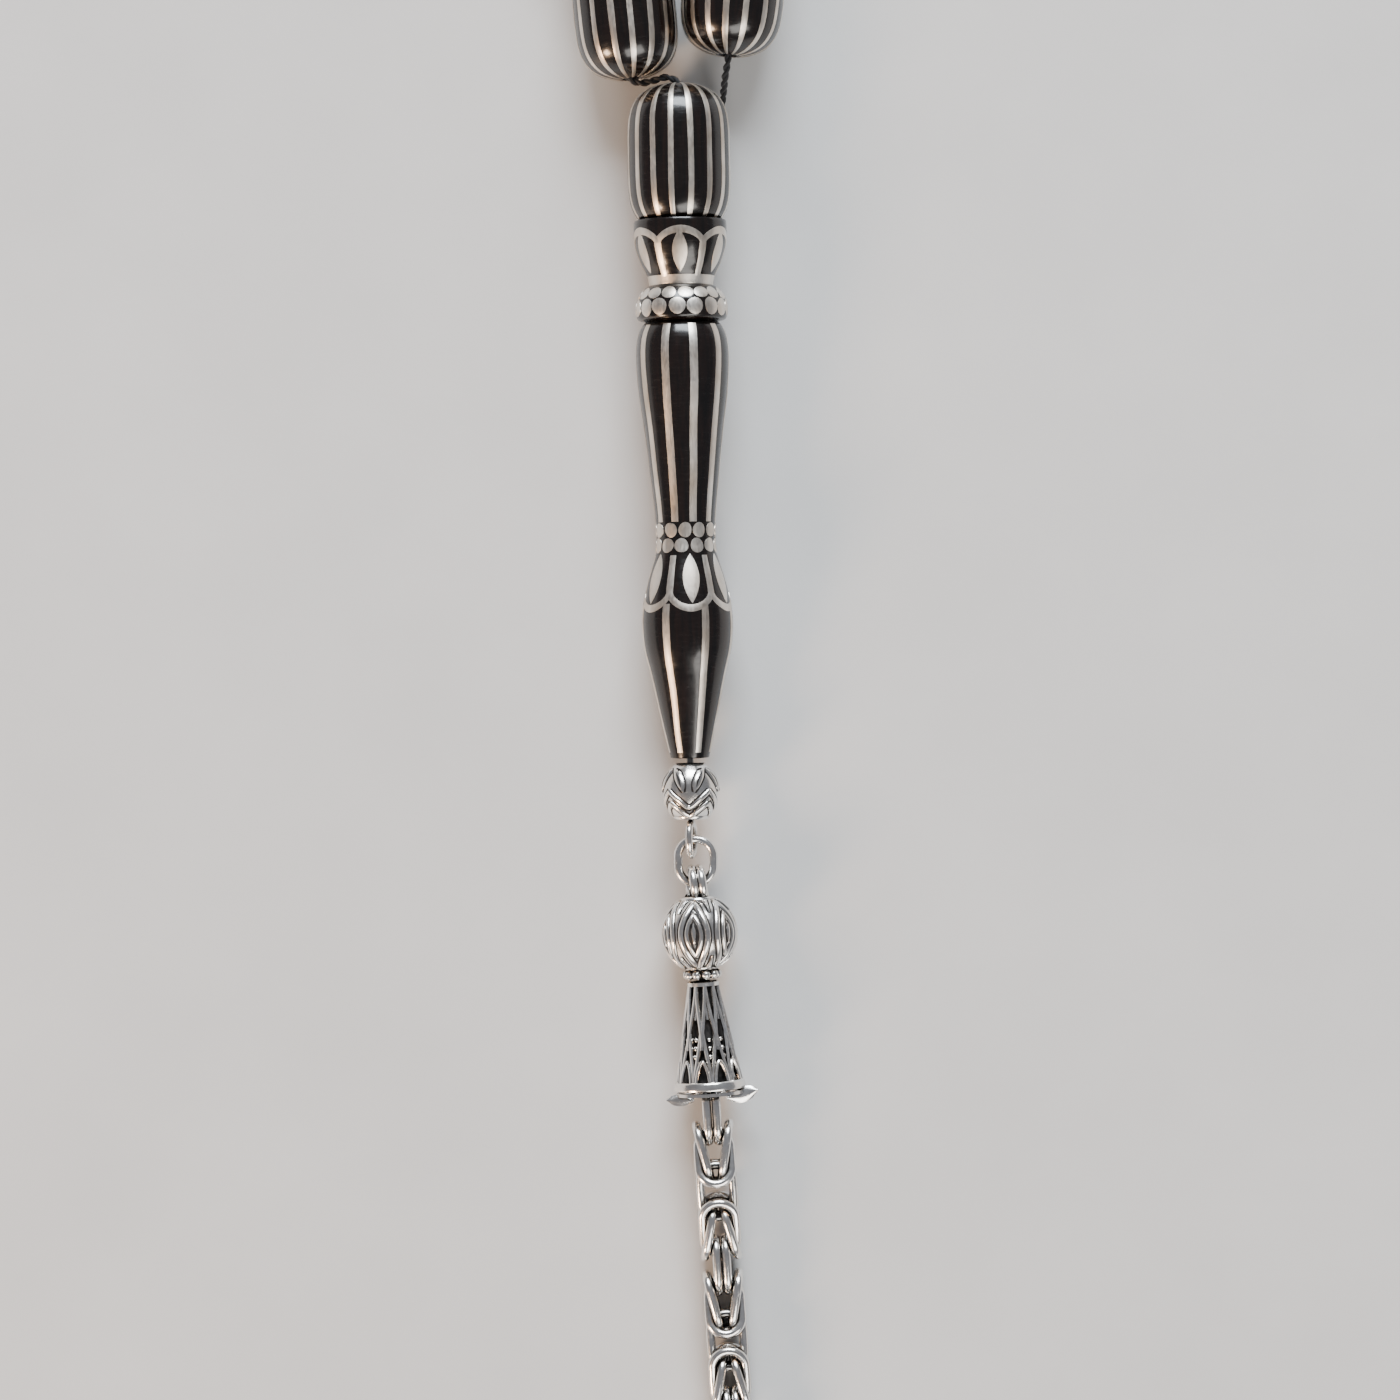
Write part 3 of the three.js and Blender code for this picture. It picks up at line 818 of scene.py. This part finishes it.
def make_eye_link():
    """The pin through the small ball, bent to an eye under it."""
    shape = Shape()
    centre, half_length, half_width, wire = -IMAME_LENGTH - 6.3, 1.3, 0.98, 0.28
    angles = np.linspace(0.5 * math.pi + 0.12, 2.5 * math.pi - 0.3, 40)
    eye = [
        (-0.2 * math.cos(a), centre + half_length * math.sin(a), half_width * math.cos(a))
        for a in angles
    ]
    neck = centre + half_length
    stem = [(0, y, 0) for y in np.linspace(0.6 - IMAME_LENGTH, neck + 0.5, 6)]
    tube(shape, smooth_line([*stem, (0, neck + 0.15, -0.02), *eye[2:]], 3), wire, sides=12)
    shape.build("eye_pin", IMAME, [SILVER], "imame", "silver", ["eye_link"])


def make_jump_ring():
    """An oval ring, cut and closed again at one side."""
    shape = Shape()
    low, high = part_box("jump_ring")
    box_inset = 0.325
    half_length = (high.y - low.y) / 2 / MM - box_inset
    half_width = (high.x - low.x) / 2 / MM - box_inset
    line = np.roll(oval(half_length, half_width, 60), 14, axis=0)
    tube(shape, line, JUMP_RING_WIRE, sides=14)
    where = place(middle("jump_ring"), (0, 1, 0))
    shape.build("jump_ring_wire", where, [SILVER], "jump_ring", "silver", ["jump_ring"])


# ---- The small open-work balls --------------------------------------------------------------------
class BallSurface(Surface):
    """A ball's surface, a little longer or shorter than round, between two flat ends."""

    def __init__(self, radius, opening, half_length):
        self.ball_radius = radius
        self.start = math.asin(opening / radius)
        stretch = half_length / math.cos(self.start)
        angles = np.linspace(self.start, math.pi - self.start, 40)
        super().__init__([(radius * math.sin(a), stretch * math.cos(a)) for a in angles])

    def run_at(self, degrees_down):
        """The run at an angle down from the pole."""
        share = (np.radians(degrees_down) - self.start) / (math.pi - 2 * self.start)
        return share * self.run[-1]


def core(shape, surface, bore):
    """The shell that the straps are laid on."""
    top = surface.outline[0][1]
    upper = [(bore, top - 0.25), (bore + 0.02, top)]
    lower = [(bore + 0.02, -top), (bore, 0.25 - top)]
    lathe(shape, [*upper, *surface.outline, *lower], 64)


def band_at(shape, surface, degrees_down, width):
    """A raised band right round a ball."""
    angles = np.linspace(0, 2 * math.pi, 72, endpoint=False)
    run = np.full(72, surface.run_at(degrees_down))
    ribbon(shape, surface, np.stack([angles, run], axis=1), width, STRAP, closed=True, slot=0)


def on_ball(surface, points, closed=False):
    """A smooth path through points of (degrees round, degrees down from the pole)."""
    line = smooth_line([*points, points[0]] if closed else points, 5)
    if closed:
        line = line[:-1]
    return np.stack([np.radians(line[:, 0]), surface.run_at(line[:, 1])], axis=1)


def strap(shape, surface, points, width, closed=False):
    """A raised strap with a blackened groove at each side."""
    path = on_ball(surface, points, closed)
    laid = np.broadcast_to(width, len(path))
    ribbon(shape, surface, path, laid + 2 * GROOVE_MARGIN, GROOVE, closed=closed, slot=1)
    ribbon(shape, surface, path, laid, STRAP, closed=closed, slot=0)


def leaf_widths(count, least, most):
    """Widths along a strap that is widest at its middle."""
    return least + (most - least) * np.sin(np.linspace(0, math.pi, count)) ** 0.8


def laced_ball(shape):
    """Four pairs of leaning leaves, each with a black vein, and nested V straps under them."""
    surface = BallSurface(STOP_BALL_RADIUS - 0.13, 1.15, 2.15)
    core(shape, surface, 0.4)
    for i in range(4):
        c = 90 * i - 4
        for side in (-1, 1):
            spine = [(c + side * a, d) for a, d in ((11, 92), (17, 75), (29, 57), (42, 47))]
            strap(shape, surface, spine, leaf_widths(16, 0.14, 0.72))
            vein = on_ball(surface, [(c + side * a, d) for a, d in ((16, 82), (20, 70), (33, 54))])
            ribbon(shape, surface, vein, leaf_widths(11, 0.04, 0.17), VEIN)
        for d in (90, 112):
            chevron = [(c - 45, d), (c - 22, d + 17), (c, d + 31), (c + 22, d + 17), (c + 45, d)]
            strap(shape, surface, chevron, 0.42)
    band_at(shape, surface, 147, 0.5)


def make_stop_ball():
    shape = Shape()
    laced_ball(shape)
    where = place(middle("stop_ball"), JOINTS["stop_ball_spin"]["axis"])
    shape.build("stop_ball_laced", where, [SILVER, OXIDE_AND_SHADE], "stop_ball", "silver", ["stop_ball"])


# ---- The tassel's cap -----------------------------------------------------------------------------
def make_bail():
    """Two turns of wire beside each other, their ends let into the ball."""
    shape = Shape()
    radius, half_width = 1.13, 0.6
    t = np.linspace(0, 1, 80)
    a = np.linspace(-0.5 * math.pi + 0.35, 3.5 * math.pi - 0.35, 80)
    line = np.stack([half_width * (1 - 2 * t), radius * np.sin(a), radius * np.cos(a)], axis=1)
    tube(shape, line, BAIL_WIRE, sides=12)
    shape.build("bail_wire", CAP, [SILVER], "tassel_cap", "silver", ["tassel_bail"])


def cap_ball_straps(shape, surface):
    """Six teardrops round the ball, each round a smaller one and a leaf, with plain lands between."""
    for i in range(6):
        c = 60 * i - 9
        for half, top, bottom, width in ((22, 32, 150, 0.46), (11.5, 58, 124, 0.36)):
            high, low = (top + 90) / 2, (bottom + 90) / 2
            right = [(c + half * 0.72, high), (c + half, 90), (c + half * 0.72, low)]
            left = [(2 * c - angle, down) for angle, down in reversed(right)]
            strap(shape, surface, [(c, top), *right, (c, bottom), *left], width, closed=True)
        strap(shape, surface, [(c, 75), (c, 82), (c, 90), (c, 105)], leaf_widths(16, 0.1, 0.42))
        strap(shape, surface, [(c + 30, 30), (c + 30, 40), (c + 30, 56)], np.linspace(0.5, 0.1, 11))
        strap(shape, surface, [(c + 30, 124), (c + 30, 138), (c + 30, 150)], np.linspace(0.1, 0.5, 11))
    band_at(shape, surface, 23, 0.5)
    band_at(shape, surface, 157, 0.5)


def make_cap_ball():
    shape = Shape()
    surface = BallSurface(CAP_BALL_RADIUS - 0.13, 0.95, 2.82)
    core(shape, surface, 0.6)
    cap_ball_straps(shape, surface)
    where = place(middle("cap_ball"), CAP.col[1].xyz)
    shape.build("cap_ball_filigree", where, [SILVER, OXIDE_AND_SHADE], "tassel_cap", "silver", ["cap_ball"])


def make_granule_ring():
    """A ring of small balls between the ball and the cone."""
    shape = Shape()
    lathe(shape, [(0.75, 0.32), (1.12, 0.3), (1.16, -0.3), (0.75, -0.32)], 40, slot=1)
    for i in range(10):
        a = math.radians(36 * i + 14)
        ball(shape, (1.16 * math.sin(a), 0, 1.16 * math.cos(a)), 0.37, 14)
    where = place(middle("granule_ring"), CAP.col[1].xyz)
    shape.build("granules", where, [SILVER, OXIDE_AND_SHADE], "tassel_cap", "silver", ["granule_ring"])


def cone_line(angle_of, depth, start, end, count=24):
    """A line down the cone: angle_of(t) in degrees, t from 0 at the top to 1 at the rim."""
    t = np.linspace(start, end, count)
    radius = CONE_TOP_RADIUS + (CONE_MOUTH_RADIUS - 0.15 - CONE_TOP_RADIUS) * t**1.06 - depth
    a = np.radians([angle_of(x) for x in t])
    height = CONE_TOP - 0.2 - (CONE_LENGTH - 0.75) * t
    return np.stack([radius * np.sin(a), height, radius * np.cos(a)], axis=1)


def cone_point(angle, depth, t):
    return cone_line(lambda _: angle, depth, t, t, 1)[0]


def tall_arch(centre, reach):
    """The angle along one leg of an arch that spreads from the cone's top."""
    return lambda t: centre + reach * math.sin(min(t / 0.62, 1) * math.pi / 2) ** 1.6


def rim_arch(centre, reach):
    """The angle along one leg of an arch that stands on the rim."""
    return lambda t: centre + reach * (1 - abs(t - 0.45) / 0.55) ** 1.2


def add_cone_ends(shape):
    """The cone's rim and top collar, and a near-black liner inside the cage that paints the shade there."""
    mouth = CONE_TOP - CONE_LENGTH
    rim = [
        (2.3, 0.1), (2.35, 0.7), (2.55, 0.74), (2.7, 0.66), (2.76, 0.45), (2.8, 0.25), (2.77, 0.06), (2.6, 0),
    ]
    lathe(shape, smooth_line([(r, mouth + y) for r, y in rim], 2), 72)
    collar = [(0.7, 0), (1.1, 0), (1.26, 0.12), (1.24, 0.4), (0.9, 0.5)]
    lathe(shape, [(r, CONE_TOP - drop) for r, drop in collar], 48)
    # Painted shade: a near-black sheet inside the open-work cage, where there is only shade.
    shade_liner = [(0.62, CONE_TOP - 0.3), (0.7, CONE_TOP - 0.3), (2.0, mouth + 0.7), (1.92, mouth + 0.7)]
    lathe(shape, shade_liner, 48, slot=1)


def make_cone():
    """A cage of wires: tall pointed arches that cross, short ones over the rim, grains between."""
    shape = Shape()
    count = 10
    pitch = 360 / count
    for i in range(count):
        c = pitch * i + 6
        for reach in (-pitch * 0.5, pitch * 0.5):
            tube(shape, cone_line(tall_arch(c, reach), 0.14, 0, 0.66), CAGE_WIRE, 8)
            tube(shape, cone_line(rim_arch(c, reach), 0.2, 0.45, 1), CAGE_WIRE, 8)
        tube(shape, cone_line(lambda t, c=c: c, 0.22, 0, 0.36), 0.13, 8)
        for row, t in enumerate((0.56, 0.645, 0.73)):
            ball(shape, cone_point(c, 0.42, t), 0.21 + 0.02 * row, 10)
        arch = [(c + pitch / 2 + a, t) for a, t in ((-13, 1), (-9, 0.86), (0, 0.77), (9, 0.86), (13, 1))]
        tube(shape, smooth_line([cone_point(a, 0.12, t) for a, t in arch], 5), 0.14, 8)
    add_cone_ends(shape)
    shape.build("cone_filigree", CAP, [SILVER, OXIDE_AND_SHADE], "tassel_cap", "silver", ["cone_cage"])


def leaf(shape, side, tip, half_width, rise):
    """A crowned leaf that reaches out from under the rim at one side, its face up from the table."""
    section = [(u, 0.16 * (1 - u * u)) for u in np.linspace(-1, 1, 9)]
    section += [(u, -0.12 + 0.1 * (1 - u * u)) for u in np.linspace(1, -1, 9)]
    root = 1.3
    rows = []
    for t in np.linspace(0, 1, 18):
        half = 0.03 + half_width * math.sin(math.pi * (0.08 + 0.9 * t) ** 1.25) ** 0.75
        level = -0.4 + rise * t**1.5
        height = 0.75 - 0.35 * t
        x = side * (root + (tip - root) * t)
        rows.append([(x, level + half * u, height + thick) for u, thick in section])
    shape.grid(rows)


def make_leaf_collar():
    shape = Shape()
    lathe(shape, [(2.2, 0.15), (2.62, 0.15), (2.66, -0.1), (2.2, -0.15)], 60)
    leaf(shape, -1, 3.45, 0.42, 0.1)
    leaf(shape, 1, 3.7, 0.58, 0.45)
    where = place(middle("leaf_collar"), CAP.col[1].xyz)
    shape.build("leaf_blades", where, [SILVER], "tassel_cap", "silver", ["leaf_collar"])


def eye_pin(shape, stem_top, centre, radius, wire, sideways):
    """A straight stem that ends in a round eye."""
    wire_ring(shape, (0, centre, 0), (0, 1, 0), sideways, radius, radius, wire)
    foot = centre + math.copysign(radius, stem_top - centre)
    tube(shape, [(0, y, 0) for y in np.linspace(foot, stem_top, 5)], wire, sides=12)


def make_chain_eye():
    shape = Shape()
    centre = CONE_TOP - CONE_LENGTH + 1.65
    eye_pin(shape, CAP_BALL_CENTRE - 2.1, centre, 0.95, 0.3, (0, 0, 1))
    shape.build("chain_eye_pin", CAP, [SILVER], "tassel_cap", "silver", ["chain_eye"])


# ---- The king chain -------------------------------------------------------------------------------
def first_ring(shape, side):
    """One of the two rings that stand side by side at the head of a knot."""
    wire_ring(shape, (0.37 * side, 0, 0), (0, 1, 0), (0, 0, 1), 2.1, 1.28, WIRE)


def knot_rings(shape):
    """One knot: a pair of rings side by side, the next pair through them, and a third folded back."""
    for side in (-1, 1):
        first_ring(shape, side)
        near, far = Vector((0, -1.32, 0.37 * side)), Vector((0, -5.3, 1.3 * side))
        wire_ring(shape, (near + far) / 2, near - far, (1, 0, 0), 2.04, 1.28, WIRE)
        near, far = Vector((1.28 * side, -0.72, 0)), Vector((0.42 * side, -5.02, 0))
        wire_ring(shape, (near + far) / 2, near - far, (0, 0, 1), 2.19, 1.3, WIRE)


def make_chain():
    """Ten knots, each a quarter turn from the next, with a small ring at each end of the chain."""
    for number in range(1, LINK_COUNT + 1):
        shape = Shape()
        if number < LINK_COUNT:
            knot_rings(shape)
        else:
            first_ring(shape, -1)
            first_ring(shape, 1)
            wire_ring(shape, (0, -2.43, 0), (0, 1, 0), (1, 0, 0), 1.05, 0.95, 0.25)
        if number == 1:
            wire_ring(shape, (0, 2.33, 0), (0, 1, 0), (1, 0, 0), 0.965, 1.05, 0.3)
        where = link_frame(number) @ Matrix.Rotation(math.pi / 2 * (number % 2 == 0), 4, "Y")
        name = f"chain_link_{number}"
        shape.build(f"king_knot_{number}", where, [SILVER], name, "silver", [name])


def make_chain_end():
    """An eye pin through a ball like the small one under the imame."""
    origin = joint_point("chain_end_bend")
    where = place(origin, origin - middle("end_ball"))
    shape = Shape()
    eye_pin(shape, -4.5, 0, 0.95, 0.3, (1, 0, 0))
    shape.build("end_eye_pin", where, [SILVER], "chain_end", "silver", ["end_eye"])
    shape = Shape()
    laced_ball(shape)
    ball_place = place(middle("end_ball"), where.col[1].xyz)
    shape.build("end_ball_laced", ball_place, [SILVER, OXIDE_AND_SHADE], "chain_end", "silver", ["end_ball"])


# ---- Stage and light ------------------------------------------------------------------------------
def make_floor():
    mesh = bpy.data.meshes.new("table_top")
    corners = [(-1, -1, 0), (1, -1, 0), (1, 1, 0), (-1, 1, 0)]
    mesh.from_pydata([Vector(c) * TABLE_HALF_SIZE for c in corners], [], [(0, 1, 2, 3)])
    mesh.materials.append(table())
    floor = bpy.data.objects.new("table_top", mesh)
    floor.location.z = CAD_BOX[0].z - TABLE_DROP * MM
    bpy.context.scene.collection.objects.link(floor)


def area_light(name, location, target, size, power, color):
    data = bpy.data.lights.new(name, "AREA")
    data.shape = "RECTANGLE"
    data.size, data.size_y = size
    data.energy = power
    data.color = color
    light = bpy.data.objects.new(name, data)
    light.location = location
    light.rotation_euler = (Vector(target) - Vector(location)).to_track_quat("-Z", "Y").to_euler()
    bpy.context.scene.collection.objects.link(light)


def make_light():
    """A cool window beyond the loop, a warm lamp at the left, a softbox past the tassel, a dim room."""
    area_light("window", (0.05, 0.6, 0.46), (0, -0.05, 0), (0.5, 0.36), 13, (0.88, 0.94, 1.0))
    area_light("lamp", (-0.46, -0.42, 0.26), (0, -0.05, 0), (0.14, 0.14), 4.5, (1.0, 0.68, 0.45))
    area_light("softbox", (0.3, -0.8, 0.75), (0, -0.05, 0), (0.8, 0.5), 9, (1.0, 0.96, 0.91))
    world = bpy.data.worlds.new("room")
    world.use_nodes = True
    background = world.node_tree.nodes["Background"]
    background.inputs["Color"].default_value = (0.86, 0.9, 1.0, 1)
    background.inputs["Strength"].default_value = 0.24
    bpy.context.scene.world = world


# ---- The whole object -----------------------------------------------------------------------------
make_camera()
make_string()
make_beads()
make_imame()
make_stop_ball()
make_eye_link()
make_jump_ring()
make_bail()
make_cap_ball()
make_granule_ring()
make_cone()
make_leaf_collar()
make_chain_eye()
make_chain()
make_chain_end()
make_floor()
make_light()
